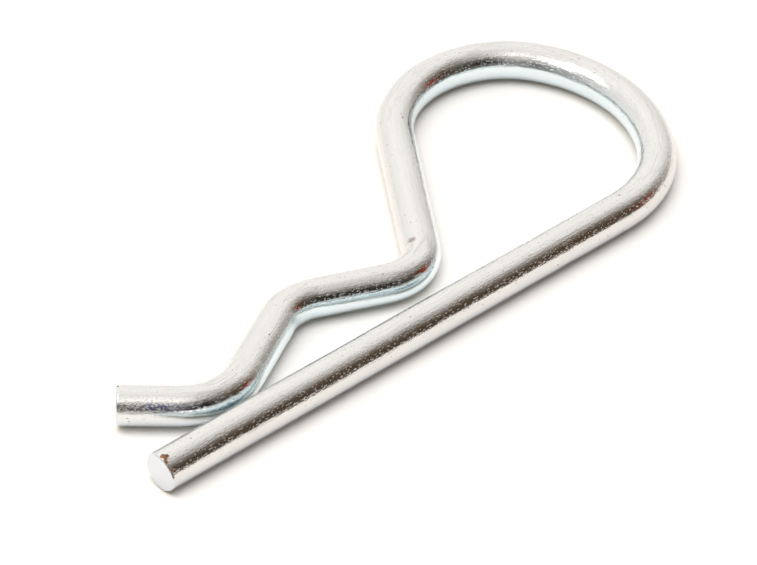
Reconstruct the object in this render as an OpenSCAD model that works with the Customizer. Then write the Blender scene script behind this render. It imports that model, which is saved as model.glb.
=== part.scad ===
// Hitch R clip: one round spring wire, bent in one plane.
// The straight leg goes through a cross-hole in a shaft, and the bent leg clasps the shaft's outside.
// The leg lies along X with its tip at -X, the bow is at +X and the bent leg is on the +Y side.
// The origin is on the straight leg's axis, under the crest that seats on the shaft.

/* [Wire] */
// Diameter of the spring wire
wire_d = 5; // [3:0.1:6.5]
// How much thinner the wire is drawn where it is bent
bend_thinning = 0.02; // [0.01:0.01:0.04]
// Radius on the rim of each cut end
rim_r = 0.3; // [0.1:0.05:0.6]

/* [Straight leg] */
// Straight length from the tip to the start of the bow
leg_length = 72.9; // [60:0.1:100]

/* [Bow] */
// Radius of the first arc, which leaves the straight leg
bow_start_r = 15.1; // [12:0.1:20]
// Angle that the first arc turns through
bow_start_turn = 51.5; // [35:0.5:65]
// Radius of the middle arc, round the back of the bow
bow_back_r = 20.1; // [15:0.1:28]
// Angle that the middle arc turns through
bow_back_turn = 69.5; // [55:0.5:85]
// Radius of the last arc, which returns towards the neck
bow_top_r = 14.3; // [11:0.1:18]

/* [Neck] */
// Slope of the neck to the straight leg
neck_slope = 56.5; // [45:0.5:65]
// Radius of the bend at the foot of the neck
neck_bend_r = 5.9; // [4.5:0.1:8]
// Clear gap between that bend and the straight leg
neck_gap = 2.9; // [1.5:0.1:4]

/* [Shaft seat] */
// Distance from the straight leg's axis to the inside of the crest, half the shaft that it clasps
seat_reach = 10.2; // [8:0.1:14]
// Slope of the rise from the neck to the crest
rise_slope = 24; // [20:0.5:30]
// Radius of the bend at the crest
crest_bend_r = 7; // [5:0.1:9]
// Slope of the fall from the crest to the tip
fall_slope = 28.5; // [24:0.5:36]

/* [Flared tip] */
// Radius of the bend that turns the tip away from the straight leg
tip_bend_r = 7.8; // [5:0.1:9]
// Clear gap between that bend and the straight leg
tip_gap = 0.6; // [0.4:0.05:2]
// Angle of the flared end to the straight leg
tip_flare = 42; // [30:0.5:60]
// Straight length of the flared end
tip_length = 7.3; // [4:0.1:12]

/* [Hidden] */
$fn = 72;

wire_r = wire_d / 2;
bend_wire_r = wire_r - bend_thinning / 2;

// A thinner run starts and ends this far inside its thicker neighbours.
lap = 0.05;

// Heights of the centreline above the straight leg's axis
neck_y = wire_d + neck_gap;
crest_y = seat_reach + wire_r;
tip_y = wire_d + tip_gap;

// The bow turns until the wire comes back down at the neck's slope.
bow_back_heading = bow_start_turn + bow_back_turn;
neck_heading = 180 + neck_slope;
bow_top_turn = neck_heading - bow_back_heading;

// Advance along X and along Y of an arc of radius r that turns left from one heading to another
function arc_x(r, from, to) = r * (sin(to) - sin(from));
function arc_y(r, from, to) = r * (cos(from) - cos(to));

bow_x = arc_x(bow_start_r, 0, bow_start_turn)
    + arc_x(bow_back_r, bow_start_turn, bow_back_heading)
    + arc_x(bow_top_r, bow_back_heading, neck_heading);
bow_y = arc_y(bow_start_r, 0, bow_start_turn)
    + arc_y(bow_back_r, bow_start_turn, bow_back_heading)
    + arc_y(bow_top_r, bow_back_heading, neck_heading);

// Straight length that makes up a height together with the bends at its ends, down to where each lies level
function straight_for(height, slope, bend_radii) = (height - bend_radii * (1 - cos(slope))) / sin(slope);

neck_length = straight_for(bow_y - neck_y, neck_slope, neck_bend_r);
rise_length = straight_for(crest_y - neck_y, rise_slope, neck_bend_r + crest_bend_r);
fall_length = straight_for(crest_y - tip_y, fall_slope, crest_bend_r + tip_bend_r);

// Distance along X from the tip to the crest, whose foot is the origin
crest_x = leg_length + bow_x
    - neck_length * cos(neck_slope) - neck_bend_r * (sin(neck_slope) + sin(rise_slope))
    - rise_length * cos(rise_slope) - crest_bend_r * sin(rise_slope);

// The wire from tip to tip. Each run is [straight length, bend radius, bend turn, bend's wire radius],
// where a turn to the right is negative. Straights are full wire and bends are thinned, except for
// the bow's middle arc, which is full wire between two thinned arcs.
RUNS = [
    [leg_length, bow_start_r, bow_start_turn, bend_wire_r],
    [0, bow_back_r, bow_back_turn, wire_r],
    [0, bow_top_r, bow_top_turn, bend_wire_r],
    [neck_length, neck_bend_r, -neck_slope - rise_slope, bend_wire_r],
    [rise_length, crest_bend_r, rise_slope + fall_slope, bend_wire_r],
    [fall_length, tip_bend_r, -fall_slope - tip_flare, bend_wire_r],
    [tip_length, 0, 0, 0]
];

// A straight length of wire along X, with a rounded rim at an end that is cut
module straight_wire(length, start_rim = 0, end_rim = 0) {
    rotate([0, 90, 0])
        rotate_extrude()
            union() {
                square([wire_r - max(start_rim, end_rim), length]);
                translate([0, start_rim])
                    square([wire_r, length - start_rim - end_rim]);
                if (start_rim > 0)
                    translate([wire_r - start_rim, start_rim])
                        circle(r = start_rim);
                if (end_rim > 0)
                    translate([wire_r - end_rim, length - end_rim])
                        circle(r = end_rim);
            }
}

// A bend to the left that starts at the origin along X; a thinned one laps into both neighbours
module bent_wire(radius, turn, section_r) {
    lap_turn = section_r < wire_r ? lap / radius * 180 / PI : 0;
    translate([0, radius, 0])
        rotate([0, 0, -90])
            rotate_extrude(angle = turn + 2 * lap_turn, start = -lap_turn)
                translate([radius, 0])
                    circle(r = section_r);
}

// The wire from run i to its far end, each run placed at the end of the one before
module wire_from(i) {
    length = RUNS[i][0];
    radius = RUNS[i][1];
    turn = RUNS[i][2];
    side = turn < 0 ? 1 : 0;
    last = i == len(RUNS) - 1;
    if (length > 0)
        straight_wire(length, i == 0 ? rim_r : 0, last ? rim_r : 0);
    if (!last)
        translate([length, 0, 0])
            mirror([0, side, 0]) {
                bent_wire(radius, abs(turn), RUNS[i][3]);
                translate([0, radius, 0])
                    rotate([0, 0, abs(turn)])
                        translate([0, -radius, 0])
                            mirror([0, side, 0])
                                wire_from(i + 1);
            }
}

module clip_wire() {
    color("silver")
        translate([-crest_x, 0, 0])
            wire_from(0);
}

clip_wire();
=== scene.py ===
# %% [markdown]
# # A hitch R clip in bright zinc
#
# The real part is one length of 5 mm spring wire, bent in a single plane. The straight leg
# slides through a cross-hole in a shaft, and the bent leg snaps over the outside of it.
#
# The packed CAD part comes first, as a fixed frame. Everything below is measured from it, so
# the finished piece lies exactly where the engineering model says it does.

import math

import bpy
import numpy as np
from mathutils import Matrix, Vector


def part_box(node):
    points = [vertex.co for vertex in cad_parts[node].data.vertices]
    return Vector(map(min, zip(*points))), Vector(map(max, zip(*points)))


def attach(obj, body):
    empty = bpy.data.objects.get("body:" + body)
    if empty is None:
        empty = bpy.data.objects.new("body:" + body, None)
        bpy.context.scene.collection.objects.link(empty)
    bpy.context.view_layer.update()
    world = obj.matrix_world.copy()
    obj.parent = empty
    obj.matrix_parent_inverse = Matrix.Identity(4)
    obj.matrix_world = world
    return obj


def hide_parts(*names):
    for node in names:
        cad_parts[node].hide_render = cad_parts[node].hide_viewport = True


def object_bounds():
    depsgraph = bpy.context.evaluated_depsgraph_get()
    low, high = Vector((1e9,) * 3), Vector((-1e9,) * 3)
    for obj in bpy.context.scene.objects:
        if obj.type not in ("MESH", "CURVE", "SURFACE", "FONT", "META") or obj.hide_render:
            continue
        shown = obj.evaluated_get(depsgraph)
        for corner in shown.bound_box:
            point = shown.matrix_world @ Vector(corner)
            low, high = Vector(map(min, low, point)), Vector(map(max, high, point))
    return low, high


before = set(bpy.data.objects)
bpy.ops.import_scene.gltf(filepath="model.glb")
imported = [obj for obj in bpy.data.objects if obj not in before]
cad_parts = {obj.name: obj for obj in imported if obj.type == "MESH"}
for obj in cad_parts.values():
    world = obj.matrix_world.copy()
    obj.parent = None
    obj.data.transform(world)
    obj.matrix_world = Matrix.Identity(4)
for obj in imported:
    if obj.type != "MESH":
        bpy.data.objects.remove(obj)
cad_low, cad_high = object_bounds()
print("CAD box in metres:", list(cad_low), list(cad_high))

# %% [markdown]
# ## Sizes
#
# The wire lies flat, so the height of the CAD box is the wire's own diameter, and its lowest
# x is the cut end of the straight leg. The sizes could be typed in again, but taking them from
# the box keeps the piece and the CAD part together if the wire is ever made thicker.
#
# The rest is worked out in millimetres, the unit a wire bender reads, and becomes metres once,
# when the mesh is made.

# %% The wire's size and where it starts
MM = 0.001
wire_low, wire_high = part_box("clip_wire")
WIRE_R = (wire_high.z - wire_low.z) / 2 / MM
LEG_END_X = wire_low.x / MM
WIRE_MID_Z = (wire_high.z + wire_low.z) / 2 / MM
print(f"wire radius {WIRE_R:.3f} mm, leg end at x {LEG_END_X:.3f} mm")

# %% [markdown]
# ## The bending plan
#
# A wire bender works from a plan: feed so much straight wire, then bend to a radius through
# an angle, and repeat. The clip could be drawn as one freehand curve, but a plan gives true
# arcs, as the pins of the bending tool do, and it can be checked against the CAD part.
#
# The bow is an egg made of three arcs, widest round its back and tightest at its top. The
# three sloping straights are not typed in. Each has the length that takes the wire from one
# height to the next, once the bends at its ends have used up their share.

# %% Radii and lengths in mm, and angles in degrees
LEG_LENGTH = 72.9
BOW_START_R = 15.1
BOW_START_TURN = 51.5
BOW_BACK_R = 20.1
BOW_BACK_TURN = 69.5
BOW_TOP_R = 14.3
NECK_SLOPE = 56.5
NECK_BEND_R = 5.9
RISE_SLOPE = 24.0
CREST_BEND_R = 7.0
FALL_SLOPE = 28.5
TIP_BEND_R = 7.8
TIP_FLARE = 42.0
TIP_LENGTH = 7.3
HALF_TURN = 180
print(f"leg {LEG_LENGTH} mm, flared tip {TIP_LENGTH} mm at {TIP_FLARE} degrees")

# %% Heights of the bent leg, and the straights that they ask for
NECK_Y = 7.9  # heights of the wire's middle above the middle of the straight leg, in mm
CREST_Y = 12.7
TIP_Y = 5.6


def fall_of(angle):
    """How far a bend of radius 1 moves sideways while it turns by angle: one less its cosine."""
    return 1 - math.cos(math.radians(angle))


def straight_for(height, slope, bend_radii):
    """Length of a sloping straight: the height left after its bends, over the slope's sine."""
    return (height - bend_radii * fall_of(slope)) / math.sin(math.radians(slope))


bow_back_heading = BOW_START_TURN + BOW_BACK_TURN
neck_heading = HALF_TURN + NECK_SLOPE
bow_height = (
    BOW_START_R * fall_of(BOW_START_TURN)
    + BOW_BACK_R * (fall_of(bow_back_heading) - fall_of(BOW_START_TURN))
    + BOW_TOP_R * (fall_of(neck_heading) - fall_of(bow_back_heading))
)
neck_length = straight_for(bow_height - NECK_Y, NECK_SLOPE, NECK_BEND_R)
rise_length = straight_for(CREST_Y - NECK_Y, RISE_SLOPE, NECK_BEND_R + CREST_BEND_R)
fall_length = straight_for(CREST_Y - TIP_Y, FALL_SLOPE, CREST_BEND_R + TIP_BEND_R)
print(f"neck {neck_length:.3f}, rise {rise_length:.3f}, fall {fall_length:.3f} mm")

# %% The plan itself, in the order the wire is fed
PLAN = [  # a straight is (length, 0) and a bend is (radius, turn in degrees, left positive)
    (LEG_LENGTH, 0),
    (BOW_START_R, BOW_START_TURN),
    (BOW_BACK_R, BOW_BACK_TURN),
    (BOW_TOP_R, neck_heading - bow_back_heading),
    (neck_length, 0),
    (NECK_BEND_R, -(NECK_SLOPE + RISE_SLOPE)),
    (rise_length, 0),
    (CREST_BEND_R, RISE_SLOPE + FALL_SLOPE),
    (fall_length, 0),
    (TIP_BEND_R, -(FALL_SLOPE + TIP_FLARE)),
    (TIP_LENGTH, 0),
]
run_lengths = [size if turn == 0 else size * math.radians(abs(turn)) for size, turn in PLAN]
run_ends = np.concatenate([[0.0], np.cumsum(run_lengths)])
run_headings = np.radians(np.concatenate([[0.0], np.cumsum([turn for _, turn in PLAN])]))
WIRE_LENGTH = float(run_ends[-1])
print(f"{len(PLAN)} runs, {WIRE_LENGTH:.2f} mm of wire")

# %% [markdown]
# ## The centre line
#
# Each straight and each arc could be placed by its own formula. Walking is simpler: the heading
# stays the same on a straight and changes evenly in a bend, and adding up small steps in the
# direction of the heading gives the centre line of both.
#
# Spring wire never goes from straight to curved at a point: the bend eases in over a millimetre
# or two. Averaging the heading over a short stretch does the same, and it lets reflections run
# smoothly through each bend.

# %% Walk along the wire
STEP = 0.02  # mm between two points of the walk
EASE = 0.9  # mm on either side that each heading is averaged over


def eased(values, reach):
    """Running mean of values over reach either side, with the end values held beyond the ends."""
    count = int(round(reach / STEP))
    held = np.pad(values, count, mode="edge")
    return np.convolve(held, np.ones(2 * count + 1) / (2 * count + 1), mode="valid")


walk = np.linspace(0, WIRE_LENGTH, int(WIRE_LENGTH / STEP) + 1)
heading = eased(np.interp(walk, run_ends, run_headings), EASE)
pace = np.diff(walk)
between = (heading[1:] + heading[:-1]) / 2
walk_x = LEG_END_X + np.concatenate([[0.0], np.cumsum(pace * np.cos(between))])
walk_y = np.concatenate([[0.0], np.cumsum(pace * np.sin(between))])
walk_bend = np.gradient(heading, walk) * WIRE_R
print(f"tip ends at x {walk_x[-1]:.2f}, y {walk_y[-1]:.2f}")
print(f"tightest bend {1 / abs(walk_bend).max():.2f} wire radii")

# %% [markdown]
# ## The skin of the wire
#
# The skin is a surface of two numbers: how far along the wire, and which way round it. The
# ends belong to the same surface: the rings shrink over a small rounded rim and across the
# cut face to a single closing point, so there is no seam anywhere.
#
# A curve with a round bevel would give a tube at once, but a perfect one, and its reflections
# would run as straight as a ruler. Real wire is a few hundredths of a millimetre out of round,
# is squeezed a little oval in each bend, and has a flat where the bending pin pressed on the
# inside. These are small but they are what the eye reads in a shiny surface, so they are made
# as shape.

# %% Rings along the wire, with sizes in mm
AROUND = 96
RING_GAP = 0.232
RIM_R = 0.3
WAVE_ROOM = 0.03  # the skin starts this far inside the CAD wire, which leaves room for its waves
SKIN_R = WIRE_R - WAVE_ROOM
FACE_RINGS = 9
RIM_RINGS = 6

face_reach = (SKIN_R - RIM_R) * np.arange(1, FACE_RINGS + 1) / FACE_RINGS
rim_turn = np.radians(90) * np.arange(1, RIM_RINGS + 1) / RIM_RINGS
cap_along = np.concatenate([np.zeros(FACE_RINGS), RIM_R * (1 - np.cos(rim_turn))])
cap_reach = np.concatenate([face_reach, SKIN_R - RIM_R + RIM_R * np.sin(rim_turn)])
side_count = int((WIRE_LENGTH - 2 * RIM_R) / RING_GAP)
side_along = np.linspace(RIM_R, WIRE_LENGTH - RIM_R, side_count + 1)[1:-1]
ring_along = np.concatenate([cap_along, side_along, WIRE_LENGTH - cap_along[::-1]])
ring_reach = np.concatenate([cap_reach, np.full(len(side_along), SKIN_R), cap_reach[::-1]])
print(len(ring_along), "rings of", AROUND)

# %% How the radius departs from a true circle
WAVES = 9
WAVE_HEIGHT = 0.0022
WAVE_LENGTHS = (3.5, 16)
MOST_LOBES = 3
OVAL = 0.045
PIN_FLAT = 0.05
PIN_WIDTH = 0.5
PIN_BITE = 2.5  # the flat has its full depth where the bend's radius is this many wire radii or less
rng = np.random.default_rng(5)


def waver(along, turn):
    """Sum of sine waves that run along and round the wire, each a few micrometres high."""
    total = np.zeros(np.broadcast(along, turn).shape)
    for _ in range(WAVES):
        length = rng.uniform(*WAVE_LENGTHS)
        lobes = rng.integers(0, MOST_LOBES + 1)
        start = rng.uniform(0, 2 * math.pi)
        total = total + WAVE_HEIGHT * np.sin(2 * math.pi * along / length + lobes * turn + start)
    return total


def squeeze(bend, turn):
    """Loss of radius in a bend: an oval in the plane of the bend, and a flat on its inner side."""
    inner = np.cos(turn) * np.sign(bend)
    off_inner = np.arccos(np.clip(inner, -1, 1))
    oval = OVAL * abs(bend) * np.cos(turn) ** 2 * WIRE_R
    pressed = np.clip(abs(bend) * PIN_BITE, 0, 1)
    flat = PIN_FLAT * pressed * np.exp(-((off_inner / PIN_WIDTH) ** 2))
    return oval + flat


print(f"{WAVES} waves, together at most {WAVES * WAVE_HEIGHT:.3f} mm high, pin flat {PIN_FLAT} mm")

# %% Nicks and dents that handling and bending have left
DENTS = [  # along the wire in mm, degrees round it, size along and across in mm, depth in mm
    (4.9, 88, 0.30, 0.22, 0.030),
    (34.8, 97, 0.45, 0.25, 0.020),
    (38.4, 97, 0.35, 0.25, 0.025),
    (56.0, 70, 0.50, 0.20, 0.015),
    (104.0, 75, 0.60, 0.25, 0.015),
    (126.0, 120, 0.45, 0.30, 0.020),
    (162.7, 119, 0.50, 0.45, 0.045),
    (183.8, -8, 0.28, 1.20, 0.040),
    (211.4, 33, 0.30, 0.60, 0.030),
    (198.0, 60, 0.40, 0.25, 0.020),
]


def dented(along, turn):
    """Sum of bell-shaped hollows, each given by its place on the wire, its size and its depth."""
    total = np.zeros(np.broadcast(along, turn).shape)
    for at, degrees, long_size, cross_size, depth in DENTS:
        off = np.angle(np.exp(1j * (turn - math.radians(degrees)))) * WIRE_R
        total = total + depth * np.exp(-(((along - at) / long_size) ** 2) - (off / cross_size) ** 2)
    return total


print(f"{len(DENTS)} marks, the deepest {max(dent[-1] for dent in DENTS):.3f} mm")

# %% The radius at every point of the grid
turn = np.linspace(0, 2 * math.pi, AROUND, endpoint=False)[None, :]
along = ring_along[:, None]
reach = ring_reach[:, None]
ring_bend = np.interp(along, walk, walk_bend)
fullness = (reach / SKIN_R) ** 2
skin = reach + fullness * (waver(along, turn) - squeeze(ring_bend, turn) - dented(along, turn))
across = skin * np.cos(turn)
upward = skin * np.sin(turn)
print(f"least radius {skin[ring_reach == SKIN_R].min():.3f}, greatest {skin.max():.3f} mm")

# %% [markdown]
# ## The cut ends
#
# Shears leave a face that is nearly flat: it tilts a little, and shallow ridges cross it where
# the steel tore. A flat disc would mirror the room as one even patch, so the tilt and the
# ridges are given to the face as depth.

# %% Depth of a sheared face
CUT_RELIEF = 0.03
TILT_SHARE = 0.4
CUT_RIDGES = [(9.0, 1.3), (-2.2, 4.1)]  # radians for each mm up, and for each mm to the side
RIM_BLEND = 0.35  # mm from the rounded rim over which the relief grows to its full depth


def zero_to_one(value):
    """A value that swings between -1 and 1, halved and raised to swing between 0 and 1."""
    return 0.5 + 0.5 * value


def cut_relief(side, up):
    """Depth of the sheared face below its highest point: a slow tilt plus the mean of two waves."""
    ridges = [np.sin(for_up * up + for_side * side) for for_up, for_side in CUT_RIDGES]
    mean_ridge = zero_to_one(sum(ridges) / len(CUT_RIDGES))
    return CUT_RELIEF * (TILT_SHARE * zero_to_one(side / WIRE_R) + (1 - TILT_SHARE) * mean_ridge)


near_face = np.clip((SKIN_R - RIM_R - reach) / RIM_BLEND, 0, 1)
sink = near_face * cut_relief(across, upward)
place_along = along + np.where(along < WIRE_LENGTH / 2, sink, -sink)
print(f"deepest place on the cut faces {sink.max():.3f} mm")

# %% Lay the rings along the centre line
way = np.interp(place_along, walk, heading)
grid_x = np.interp(place_along, walk, walk_x) - across * np.sin(way)
grid_y = np.interp(place_along, walk, walk_y) + across * np.cos(way)
grid_z = WIRE_MID_Z + upward + 0 * place_along
print(f"skin from x {grid_x.min():.2f} to {grid_x.max():.2f} mm")
print(f"skin from y {grid_y.min():.2f} to {grid_y.max():.2f} mm")

# %% [markdown]
# ## From grid to mesh
#
# Neighbouring grid points make four-sided faces, ordered so that they look outwards, and two
# fans of triangles close the ends. Each point also keeps its place on the unbent wire as an
# attribute: how far along, and where in the round section. A pattern that reads this place
# follows the wire through every bend, as marks from the drawing die do. A UV map could carry
# it too, but would have a seam along the wire.


# %% Faces that join the grid
def tube_faces(rings, around):
    """Quads between ring i and i+1, and fans to two poles that follow the grid's own points."""
    ring, step = np.meshgrid(np.arange(rings - 1), np.arange(around), indexing="ij")
    after = (step + 1) % around
    this_ring = ring * around
    next_ring = this_ring + around
    quads = [this_ring + step, this_ring + after, next_ring + after, next_ring + step]
    place = np.arange(around)
    beyond = (place + 1) % around
    first_pole = np.full(around, rings * around)
    last_ring = (rings - 1) * around
    fans = [
        np.stack([first_pole, beyond, place], axis=-1),
        np.stack([first_pole + 1, last_ring + place, last_ring + beyond], axis=-1),
    ]
    return np.stack(quads, axis=-1).reshape(-1, 4).tolist() + np.concatenate(fans).tolist()


def pole(end, sign):
    """The point that closes an end, on the centre line, sunk as deep as the face's own middle."""
    at = end + sign * float(cut_relief(0.0, 0.0))
    x = float(np.interp(at, walk, walk_x))
    y = float(np.interp(at, walk, walk_y))
    return [x, y, WIRE_MID_Z], [at, 0.0, 0.0]


first_pole, first_place = pole(0.0, 1)
last_pole, last_place = pole(WIRE_LENGTH, -1)
print("poles in mm:", first_pole, last_pole)

# %% The mesh and what each point carries
points = np.stack([grid_x, grid_y, grid_z], axis=-1).reshape(-1, 3)
points = np.concatenate([points, [first_pole, last_pole]]) * MM
places = np.stack([place_along + 0 * turn, across, upward + 0 * along], axis=-1).reshape(-1, 3)
places = np.concatenate([places, [first_place, last_place]])
bends = np.concatenate([np.repeat(abs(ring_bend[:, 0]), AROUND), [0.0, 0.0]])
mesh = bpy.data.meshes.new("spring_wire")
mesh.from_pydata(points.tolist(), [], tube_faces(len(ring_along), AROUND))
mesh.shade_smooth()
carried = mesh.attributes.new("wire_place", "FLOAT_VECTOR", "POINT")
carried.data.foreach_set("vector", places.astype(np.float32).ravel())
worked = mesh.attributes.new("wire_bend", "FLOAT", "POINT")
worked.data.foreach_set("value", bends.astype(np.float32))
mesh.update()
spring_wire = bpy.data.objects.new("spring_wire", mesh)
bpy.context.scene.collection.objects.link(spring_wire)
print(len(mesh.vertices), "points,", len(mesh.loops) - 2 * len(mesh.polygons), "triangles")

# %% [markdown]
# ## Writing shader maths as sums
#
# A node tree is a set of small machines joined by links, and a long formula soon becomes a
# tangle of Math nodes. The class below holds one socket and gives it the operators of a
# number, so that a formula is written as it would be on paper and the nodes add themselves.


# %% A socket that can be added and multiplied
class Shade:
    """One output socket of a node tree, used in sums as if it were a number."""

    def __init__(self, tree, socket=None):
        self.tree = tree
        self.socket = socket

    def node(self, kind, settings=None, sockets=None, output=0):
        """Add a node, set its options, then fill its inputs with values or links."""
        made = self.tree.nodes.new(kind)
        for name, value in (settings or {}).items():
            setattr(made, name, value)
        for name, value in (sockets or {}).items():
            if isinstance(value, Shade):
                self.tree.links.new(value.socket, made.inputs[name])
            else:
                made.inputs[name].default_value = value
        return Shade(self.tree, made.outputs[output] if len(made.outputs) else None)

    def math(self, operation, *values):
        """One Math node, its operation named and its inputs filled in order."""
        return self.node("ShaderNodeMath", {"operation": operation}, dict(enumerate(values)))

    def __add__(self, other):
        return self.math("ADD", self, other)

    def __radd__(self, other):
        return self.math("ADD", other, self)

    def __sub__(self, other):
        return self.math("SUBTRACT", self, other)

    def __rsub__(self, other):
        return self.math("SUBTRACT", other, self)

    def __mul__(self, other):
        return self.math("MULTIPLY", self, other)

    def __rmul__(self, other):
        return self.math("MULTIPLY", other, self)

    def most(self, other):
        """The greater of this number and the other."""
        return self.math("MAXIMUM", self, other)

    def ramp(self, low, high):
        """0 below low, 1 above high, and a smooth S between: from 1 to 0 if low is the greater."""
        if low > high:
            return 1 - self.ramp(high, low)
        limits = {"Value": self, "From Min": low, "From Max": high}
        return self.node("ShaderNodeMapRange", {"interpolation_type": "SMOOTHSTEP"}, limits)

    def band(self, rises, full, falls, gone):
        """0 below rises, 1 from full to falls and 0 above gone: two ramps multiplied."""
        return self.ramp(rises, full) * self.ramp(gone, falls)

    def from_least(self, least):
        """A mask squeezed to run from least to 1: least, plus the mask times what is left."""
        return least + self * (1 - least)

    def mix(self, first, second):
        """Colour first where this mask is 0 and colour second where it is 1."""
        inputs = {"Factor": self, 6: first, 7: second}
        return self.node("ShaderNodeMix", {"data_type": "RGBA"}, inputs, 2)

    def vector(self, operation, *values, output=0):
        """One Vector Math node, its inputs filled in order."""
        return self.node("ShaderNodeVectorMath", {"operation": operation}, dict(enumerate(values)), output)

    def axis(self, number):
        """One of the three numbers of this vector."""
        return self.node("ShaderNodeSeparateXYZ", None, {0: self}, number)

    def noise(self, cells, detail=2.0, roughness=0.5):
        """Cloudy noise of this vector, with so many cells per unit of length in each direction."""
        spread = self.vector("MULTIPLY", self, cells)
        wanted = {"Vector": spread, "Scale": 1.0, "Detail": detail, "Roughness": roughness}
        return self.node("ShaderNodeTexNoise", {"noise_dimensions": "3D"}, wanted)


def empty_tree(holder):
    """Clear the node tree of a material or world, and return a Shade with no socket to start from."""
    holder.use_nodes = True
    holder.node_tree.nodes.clear()
    return Shade(holder.node_tree)


print("a socket can", [name for name in vars(Shade) if not name.startswith("_")])

# %% [markdown]
# ## Bright zinc plate
#
# The wire is drawn through a die, bent, tumbled, plated with zinc, commonly 8 micrometres of
# it, and dipped in a clear-blue passivate. Up close that shows as fine lines along it from the
# die, a grain and a sprinkle of raised specks in the plating that break up the edge of every
# reflection, slow ripples, and tints where the passivate gathered as it drained.
#
# Streaks and highlights could be painted on a grey wire, but they would look wrong under any
# other light. Here the surface is described and the light does the rest, apart from a painted
# cool tint on the underside and painted shade in the film at the tip.
#
# The first step is to know where a point lies. Its place on the unbent wire has three
# numbers: along, across towards the inside of the clip, and up. The bend is the wire's radius
# over the bend's radius: 0 on a straight and about 0.4 at the neck.

# %% Where a point lies on the wire
zinc = bpy.data.materials.new("bright_zinc")
start = empty_tree(zinc)
place = start.node("ShaderNodeAttribute", {"attribute_name": "wire_place"}, output="Vector")
bend = start.node("ShaderNodeAttribute", {"attribute_name": "wire_bend"}, output="Fac")
along_wire = place.axis(0)
sideways = place.axis(1)
height = place.axis(2)

RIM_STARTS = 0.05  # the rounded rim lies between these, in mm from the cut
RIM_ENDS = 0.35
SIDEWAYS_SHARE = 0.85  # inward points to the inside of the clip and somewhat down
DOWNWARD_SHARE = 0.5
on_side = along_wire.band(RIM_STARTS, RIM_ENDS, WIRE_LENGTH - RIM_ENDS, WIRE_LENGTH - RIM_STARTS)
inward = sideways * (SIDEWAYS_SHARE / WIRE_R) - height * (DOWNWARD_SHARE / WIRE_R)
print(len(mesh.attributes["wire_place"].data), "points know their place on the wire")

# %% [markdown]
# ## Relief of the plating
#
# Every mark here is a few micrometres high, and the finest are no wider than the mesh's own
# faces. Shape would need millions of faces for them, so they are made as bump. Each kind of mark
# is one noise, stretched to its own cell size, and counts for its own height in mm. Drawn lines
# fade where a bend has stretched the steel, and orange peel grows there.

# %% Noises, as cells per mm along, across and up
die_lines = place.noise((0.08, 3.0, 3.0), detail=3.0, roughness=0.62)
hair_lines = place.noise((0.35, 7.0, 7.0), detail=1.0)
grain = place.noise((2.6, 3.9, 3.9), roughness=0.65)
ripples = place.noise((0.45, 0.8, 0.8))
orange_peel = place.noise((0.9, 1.5, 1.5))
speck_field = place.noise((2.6, 5.8, 5.8), detail=0.0)
pit_field = place.noise((2.6, 4.2, 4.2), detail=0.0)
edge_noise = place.noise((3.0, 3.0, 3.0))
print(len(zinc.node_tree.nodes), "nodes after the noises")

# %% Specks, pits and the mark of the bending tool
SPECK_LEVEL = (0.60, 0.72)  # only the noise's peaks above this are specks
UPPER_SIDE = (0.85, 1.15)  # specks settle on the upper side, above this height in mm
FEW_SPECKS = 0.12  # the share of them elsewhere
PIT_LEVEL = (0.80, 0.86)
CREASE_ALONG = (183.70, 183.82, 183.90, 184.02)  # the crest's inner side, in mm along the wire
CREASE_INWARD = (0.55, 0.80)

specks = speck_field.ramp(*SPECK_LEVEL) * on_side * height.ramp(*UPPER_SIDE).from_least(FEW_SPECKS)
pits = pit_field.ramp(*PIT_LEVEL) * on_side
crease = along_wire.band(*CREASE_ALONG) * inward.ramp(*CREASE_INWARD)
print(f"crease at {CREASE_ALONG[0]:.1f} mm of {WIRE_LENGTH:.1f} mm of wire")

# %% Add the marks up, each with its height in mm
DIE_LINE_HEIGHT = 0.028
HAIR_LINE_HEIGHT = 0.006
GRAIN_HEIGHT = 0.018
SPECK_HEIGHT = 0.011
PEEL_HEIGHT = 0.022
RIPPLE_HEIGHT = 0.02
PIT_DEPTH = 0.02
CREASE_DEPTH = 0.03
LINES_LOST = 2.2  # share of the die lines that each unit of bend takes away
BEND_GAIN = 2  # what each unit of bend adds to orange peel and to veins
PEEL_ON_STRAIGHTS = 0.4
FACE_RELIEF = 0.12  # share of the relief that is left on the cut faces

relief = (
    DIE_LINE_HEIGHT * die_lines * (1 - LINES_LOST * bend)
    + HAIR_LINE_HEIGHT * hair_lines
    + GRAIN_HEIGHT * grain
    + SPECK_HEIGHT * specks
    + PEEL_HEIGHT * orange_peel * (PEEL_ON_STRAIGHTS + BEND_GAIN * bend)
    + RIPPLE_HEIGHT * ripples
) * on_side.from_least(FACE_RELIEF)
relief = relief - PIT_DEPTH * pits - CREASE_DEPTH * crease
print(len(zinc.node_tree.nodes), "nodes after the relief")

# %% [markdown]
# ## Colour of the plate
#
# Zinc is not one grey. It is clouded and streaked along the drawing lines, and faint brown
# veins run through the bends, as if the plate had crazed. The passivate drained to the inner
# side of the clip and left it blue-green. The underside is given a cooler zinc as a painted
# tint, which cancels the warmth of the sheet that it mirrors. Where the passivate pooled at the
# tip, the film is thick enough to turn violet and then brown; its colours are also made dark, as
# painted shade that deepens the dark band the tip reflects.
#
# All this could be one noise between two greys, but the tints would then be in the wrong
# places. Instead each tint is a mask laid over what is there so far, as a painter glazes, so it
# covers the earlier ones only where its own mask says so.

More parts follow.
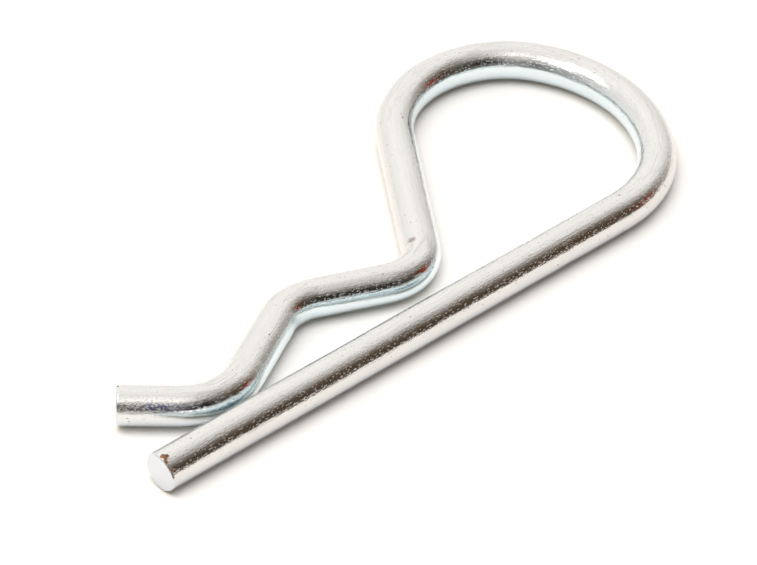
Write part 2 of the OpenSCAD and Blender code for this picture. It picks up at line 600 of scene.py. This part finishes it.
# %% Clouds, streaks and veins
ZINC = (0.705, 0.70, 0.69, 1)
ZINC_DULL = (0.665, 0.655, 0.645, 1)
VEIN = (0.30, 0.27, 0.26, 1)
CLOUD_LEVELS = (0.45, 0.75)
STREAK_LEVELS = (0.48, 0.68)
CLOUD_SHARE = 0.6
VEIN_EDGES = (0.50, 0.535, 0.54, 0.575)  # a narrow band of a noise is a thin wandering line
VEIN_ON_STRAIGHTS = 0.15
VEIN_STRENGTH = 0.25

clouds = place.noise((0.22, 0.7, 0.7), detail=3.0).ramp(*CLOUD_LEVELS)
streaks = die_lines.ramp(*STREAK_LEVELS) * on_side
veins = place.noise((0.11, 0.85, 0.85), roughness=0.55).band(*VEIN_EDGES)
veins = veins * on_side * (VEIN_ON_STRAIGHTS + BEND_GAIN * bend)
plate = (CLOUD_SHARE * clouds + (1 - CLOUD_SHARE) * streaks).mix(ZINC, ZINC_DULL)
plate = (VEIN_STRENGTH * veins).mix(plate, VEIN)
print(len(zinc.node_tree.nodes), "nodes after clouds, streaks and veins")

# %% Blue-green inner side, a painted cool tint on the underside, and plain cut faces
# a painted tint: the underside is made cooler so that the warm sheet it mirrors comes out neutral
UNDERSIDE_PAINTED_TINT = (0.650, 0.700, 0.760, 1)
PASSIVATE = (0.605, 0.680, 0.710, 1)
PASSIVATE_PALE = (0.735, 0.820, 0.850, 1)
CUT_FACE = (0.670, 0.695, 0.725, 1)
DEPTH_LEVELS = (0.0, 0.6)  # depth below the wire's middle, in wire radii
BLUISH_INWARD = (0.15, 0.75)
PALE_HEIGHTS = (-1.2, -0.4)
DRAINED_ALONG = (200.0, 206.0)  # beyond this the inner side has lost most of its blue-green
DRAINED_SHARE = 0.8

# painted tint on the underside, against the warmth of the reflected sheet
painted_tint_underneath = (height * (-1 / WIRE_R)).ramp(*DEPTH_LEVELS) * on_side
bluish = inward.ramp(*BLUISH_INWARD) * on_side * (1 - DRAINED_SHARE * along_wire.ramp(*DRAINED_ALONG))
passivate = height.ramp(*PALE_HEIGHTS).mix(PASSIVATE, PASSIVATE_PALE)
plate = painted_tint_underneath.mix(plate, UNDERSIDE_PAINTED_TINT)
plate = bluish.mix(plate, passivate)
plate = (1 - on_side).mix(plate, CUT_FACE)
print(f"blue-green fades from {DRAINED_ALONG[0]} to {DRAINED_ALONG[1]} mm along the wire")

# %% Violet and brown film at the tip, also painted dark as shade, and dark pits
# the film's colours are made dark, so they also paint the shade of the dark band that the tip reflects
VIOLET = (0.19, 0.20, 0.36, 1)
TIP_BROWN = (0.33, 0.29, 0.30, 1)
STAIN = (0.20, 0.13, 0.09, 1)
POOL_ALONG = (202.0, 208.0)
POOL_INWARD = (0.10, 0.35, 0.45, 0.65)
POOL_GRAIN = (0.44, 0.54)  # the grain breaks the film up
POOL_TURNS_BROWN = (209.6, 210.8)
PIT_STRENGTH = 0.75

# painted shade as well as film: the mask lies where the tip reflects the dark band, and darkens it
tip_film_and_shade = on_side * along_wire.ramp(*POOL_ALONG) * inward.band(*POOL_INWARD) * grain.ramp(*POOL_GRAIN)
film_and_shade = along_wire.ramp(*POOL_TURNS_BROWN).mix(VIOLET, TIP_BROWN)
plate = tip_film_and_shade.mix(plate, film_and_shade)
plate = (PIT_STRENGTH * pits).mix(plate, STAIN)
print(f"the film starts {WIRE_LENGTH - POOL_ALONG[0]:.1f} mm from the tip's end")

# %% [markdown]
# ## Rust and stains
#
# A sharp rim is knocked first and loses its plate, so rust starts at the cut ends. A brown spot
# sits in a dent on the neck. A painted mask could hold the spots, but a spot is only a distance
# from a centre, so it is worked out: the distance is made ragged with noise and a ramp turns it
# into a patch.


# %% Ragged spots
def spots(centres, ragged, outer, inner):
    """Greatest of several patches: distance over size, plus noise, ramped from outer to inner."""
    patches = []
    for centre, size in centres:
        apart = place.vector("DISTANCE", place, centre, output="Value")
        patches.append((apart * (1 / size) + ragged * edge_noise).ramp(outer, inner))
    covered = patches[0]
    for patch in patches[1:]:
        covered = covered.most(patch)
    return covered


RUST_SPOTS = [  # along, across and up from the wire's centre line, and size, all in mm
    ((0.50, -0.30, 2.45), 0.38),
    ((0.85, -0.45, 2.42), 0.28),
    ((0.45, -0.70, 2.36), 0.28),
    ((0.30, -1.05, 2.20), 0.20),
    ((0.40, -1.95, 1.55), 0.20),
    ((213.55, -0.70, 2.25), 0.22),
]
STAIN_SPOTS = [  # the spot on the neck, and two nicks on the leg
    ((162.7, -1.2, 2.15), 0.70),
    ((4.9, 0.1, 2.48), 0.16),
    ((38.4, -0.3, 2.45), 0.14),
]
RUST_RAGGED = 1.1
RUST_EDGE = (1.75, 1.30)
STAIN_RAGGED = 0.7
STAIN_EDGE = (1.5, 0.6)

rust_spots = spots(RUST_SPOTS, RUST_RAGGED, *RUST_EDGE)
stained = spots(STAIN_SPOTS, STAIN_RAGGED, *STAIN_EDGE)
print(len(RUST_SPOTS), "rust spots and", len(STAIN_SPOTS), "stains")

# %% A thin line of rust on the leg's rim, and the colour of rust
RUST = (0.27, 0.10, 0.015, 1)
RUST_DARK = (0.085, 0.045, 0.018, 1)
RIM_RUST_WAY = math.radians(137)  # the middle of the line, turned round the wire
RIM_RUST_ALONG = (0.06, 0.14, 0.24, 0.44)
RIM_RUST_SPREAD = (0.80, 0.88)
RIM_RUST_BREAKS = (0.36, 0.46)
RIM_RUST_STRENGTH = 0.85
AGE_ALONG = (0.35, 0.75)  # rust darkens away from the cut, in mm along the wire
AGE_SHARE = 0.75
RUST_MOTTLE = (0.45, 0.60)
STAIN_STRENGTH = 0.7

facing_rust = sideways * (math.cos(RIM_RUST_WAY) / WIRE_R) + height * (math.sin(RIM_RUST_WAY) / WIRE_R)
rim_line = along_wire.band(*RIM_RUST_ALONG) * facing_rust.ramp(*RIM_RUST_SPREAD)
rust = rust_spots.most(RIM_RUST_STRENGTH * rim_line * edge_noise.ramp(*RIM_RUST_BREAKS))
age = along_wire.ramp(*AGE_ALONG).most(rim_line)
mottle = edge_noise.ramp(*RUST_MOTTLE)
rust_colour = (AGE_SHARE * age + (1 - AGE_SHARE) * mottle).mix(RUST, RUST_DARK)
plate = rust.mix(plate, rust_colour)
plate = (STAIN_STRENGTH * stained).mix(plate, STAIN)
print(len(zinc.node_tree.nodes), "nodes after rust and stains")

# %% [markdown]
# ## The zinc shader
#
# One metal shader takes the colour, the relief and the dullness. Fresh plate is nearly a mirror,
# and each mark dulls it by its own share, so the roughness is a sum. Rust is not a metal. It
# could be a second shader mixed in, but it is simpler to take the metal away where it lies.

# %% Roughness, metal and the finished shader
ROUGH_PLATE = 0.075
ROUGH_SPECK = 0.14
ROUGH_STREAK = 0.10
ROUGH_VEIN = 0.08
ROUGH_PIT = 0.2
ROUGH_MATT = 0.5
ROUGH_FACE = 0.15
MATT_RUST = 0.9
MATT_STAIN = 0.3
METAL_LOST = 0.95

matt = MATT_RUST * rust + MATT_STAIN * stained
dullness = (
    ROUGH_PLATE
    + ROUGH_SPECK * specks
    + ROUGH_STREAK * streaks
    + ROUGH_VEIN * veins
    + ROUGH_PIT * pits
    + ROUGH_MATT * matt
    + ROUGH_FACE * (1 - on_side)
)
metal = 1 - METAL_LOST * matt
bumped = start.node("ShaderNodeBump", None, {"Strength": 1.0, "Distance": MM, "Height": relief})
surface = {"Base Color": plate, "Metallic": metal, "Roughness": dullness, "Normal": bumped}
shader = start.node("ShaderNodeBsdfPrincipled", None, surface)
start.node("ShaderNodeOutputMaterial", None, {"Surface": shader})
mesh.materials.append(zinc)
print(len(zinc.node_tree.nodes), "nodes in", zinc.name)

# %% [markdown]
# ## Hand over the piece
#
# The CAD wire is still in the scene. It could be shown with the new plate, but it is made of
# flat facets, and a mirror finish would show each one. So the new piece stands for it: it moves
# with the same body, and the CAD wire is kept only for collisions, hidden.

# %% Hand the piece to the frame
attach(spring_wire, "root")
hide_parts("clip_wire")
print(spring_wire.name, "stands for clip_wire and rides on root")

# %% [markdown]
# ## A white sheet under the clip
#
# Small hardware is usually shown on a white sheet. The sheet matters twice: it takes the soft
# shadow that sets the wire down on it, and it is what the lower half of the wire reflects. It
# could be a curved sweep, but the camera looks down and sees no horizon, so it is one flat
# sheet. The paper is a little warm, which shows only in the shadow, because the open sheet is
# bright enough to come out white.

# %% The white sheet
SHEET_HALF = 3.0  # in metres
floor_z = wire_low.z
floor_mesh = bpy.data.meshes.new("white_sheet")
corners = [(x * SHEET_HALF, y * SHEET_HALF, floor_z) for x, y in ((-1, -1), (1, -1), (1, 1), (-1, 1))]
floor_mesh.from_pydata(corners, [], [(0, 1, 2, 3)])
floor_sheet = bpy.data.objects.new("white_sheet", floor_mesh)
bpy.context.scene.collection.objects.link(floor_sheet)
print("sheet at z", floor_z)

# %% Its paper
FIBRES = (900.0, 900.0, 900.0)  # cells per metre
PAPER_DIM = (0.92, 0.86, 0.785, 1)
PAPER_BRIGHT = (0.96, 0.90, 0.825, 1)
PAPER_ROUGHNESS = 0.9
PAPER_GLOSS = 0.1

paper = bpy.data.materials.new("white_paper")
start = empty_tree(paper)
spot = start.node("ShaderNodeTexCoord", output="Object")
tone = spot.noise(FIBRES).mix(PAPER_DIM, PAPER_BRIGHT)
surface = {"Base Color": tone, "Roughness": PAPER_ROUGHNESS, "Specular IOR Level": PAPER_GLOSS}
shader = start.node("ShaderNodeBsdfPrincipled", None, surface)
start.node("ShaderNodeOutputMaterial", None, {"Surface": shader})
floor_mesh.materials.append(paper)
print(len(paper.node_tree.nodes), "nodes in", paper.name)

# %% [markdown]
# ## The room
#
# Shiny round wire shows the whole room. A plain grey world would leave it flat and dull, and a
# modelled room would be a lot of work for a few soft shapes. So the room is a pale colour
# times a few round patches, each brighter or darker than the rest: dark and brownish low down
# in front, which gives the dark band along the wire, and brighter high up and behind. One small
# patch is red, as a red thing in the room would be. From the front it shows as small marks in
# the bends. Seen low from behind it also shows as a thin red line along the wire's top edge,
# because a reflection always depends on where it is seen from.


# %% Soft patches of the room
def sky_way(turned, raised):
    """Unit vector at degrees turned from the front towards the right, and raised from level."""
    turned = math.radians(turned)
    raised = math.radians(raised)
    return (math.sin(turned) * math.cos(raised), -math.cos(turned) * math.cos(raised), math.sin(raised))


ROOM = (1.14, 1.13, 1.095)
PATCHES = [  # degrees turned, degrees raised, tightness, and the change of red, green and blue
    (-84, 59, 6.6, (0.22, 0.23, 0.23)),
    (42, 21, 2.1, (-0.922, -0.950, -0.975)),
    (-9, 31, 14.0, (-0.95, -0.97, -0.985)),
    (12, 14, 16.0, (-0.68, -0.72, -0.77)),
    (-24, 17, 24.0, (-0.85, -0.85, -0.85)),
    (-25, 0, 90.0, (1.60, 1.60, 1.60)),
    (-68, 16, 40.0, (-0.50, -0.50, -0.50)),
    (81, 41, 12.0, (0.74, 0.77, 0.82)),
    (-72, 10, 2.2, (-0.68, -0.70, -0.71)),
    (150, 50, 3.0, (0.32, 0.31, 0.31)),
    (-47, 66, 22.0, (0.80, 0.80, 0.80)),
    (50, 14, 130.0, (2.30, -0.80, -0.80)),
]
darker = sum(change[0] < 0 for _, _, _, change in PATCHES)
print(darker, "darker patches and", len(PATCHES) - darker, "brighter ones")

# %% Multiply the room by its patches
# A patch's share is the exponential of tightness times (cosine of the angle off its middle - 1).
world = bpy.data.worlds.new("pale_room")
bpy.context.scene.world = world
start = empty_tree(world)
looking = start.node("ShaderNodeTexCoord", output="Generated")
room = ROOM
for turned, raised, tightness, change in PATCHES:
    facing = looking.vector("DOT_PRODUCT", looking, sky_way(turned, raised), output="Value")
    share = start.math("EXPONENT", (facing - 1) * tightness)
    tinted = share.node("ShaderNodeVectorMath", {"operation": "SCALE"}, {0: change, "Scale": share})
    room = start.vector("MULTIPLY", room, tinted.vector("ADD", tinted, (1, 1, 1)))
background = start.node("ShaderNodeBackground", None, {"Color": room, "Strength": 1.0})
start.node("ShaderNodeOutputWorld", None, {"Surface": background})
print(len(world.node_tree.nodes), "nodes in", world.name)

# %% [markdown]
# ## Studio light
#
# The room alone leaves the sheet dull and the shadow wide. Small bright lamps would give hard
# shadows, so two wide panels stand in for studio lamps. A soft box, high on the left and a
# little behind, makes the white highlight on the bow. A panel overhead brightens the sheet to
# white and fills the shadow in, so that a narrow one is left beside the wire. It would also lay
# a second highlight along the wire, so it is hidden from reflections. It is slightly blue, or
# the warm paper would tint the shadow's edge too strongly.

# %% The soft box and the panel overhead
LAMP_AWAY = 0.6
SOFT_BOX = ((-119, 54), (0.40, 0.30), 1.6)  # degrees turned and raised, size in metres, radiance
OVERHEAD = ((-32, 79), (0.40, 0.40), 3.9)
OVERHEAD_BLUE = (0.90, 1.0, 1.16)
middle = (cad_low + cad_high) / 2


def panel(name, way, size, radiance):
    """A rectangular light that faces the clip; its power is radiance times pi times its area."""
    lamp = bpy.data.lights.new(name, "AREA")
    lamp.shape = "RECTANGLE"
    lamp.size, lamp.size_y = size
    lamp.energy = radiance * math.pi * lamp.size * lamp.size_y
    light = bpy.data.objects.new(name, lamp)
    light.location = middle + Vector(sky_way(*way)) * LAMP_AWAY
    light.rotation_euler = (middle - light.location).to_track_quat("-Z", "Y").to_euler()
    bpy.context.scene.collection.objects.link(light)
    print(f"{name}: {lamp.energy:.2f} W")
    return light


panel("soft_box", *SOFT_BOX)
overhead = panel("overhead", *OVERHEAD)
overhead.data.color = OVERHEAD_BLUE
overhead.visible_glossy = False

# %% [markdown]
# ## Camera
#
# The clip is seen from the front left and from well above. A long lens from further away keeps
# its true proportions, where a short lens close by would swell the nearer end.

# %% Set the camera
LOOK_AT = Vector((0.01244, 0.01152, floor_z))  # in metres, on the sheet
CAMERA_WAY = (-41.29, 39.525)  # degrees turned and raised
CAMERA_AWAY = 0.6069
SENSOR_WIDTH = 36
LENS_LENGTH = 237.8

camera_data = bpy.data.cameras.new("camera")
camera_data.sensor_width = SENSOR_WIDTH
camera_data.lens = LENS_LENGTH
camera = bpy.data.objects.new("camera", camera_data)
camera.location = LOOK_AT + Vector(sky_way(*CAMERA_WAY)) * CAMERA_AWAY
camera.rotation_euler = (LOOK_AT - camera.location).to_track_quat("-Z", "Y").to_euler()
bpy.context.scene.collection.objects.link(camera)
bpy.context.scene.camera = camera
bpy.context.scene.view_settings.view_transform = "Standard"
print("camera at", list(camera.location))

# %% [markdown]
# ## The size
#
# Looks cannot prove a size. The skin starts a little inside the CAD wire, so its box must not
# be the larger one.
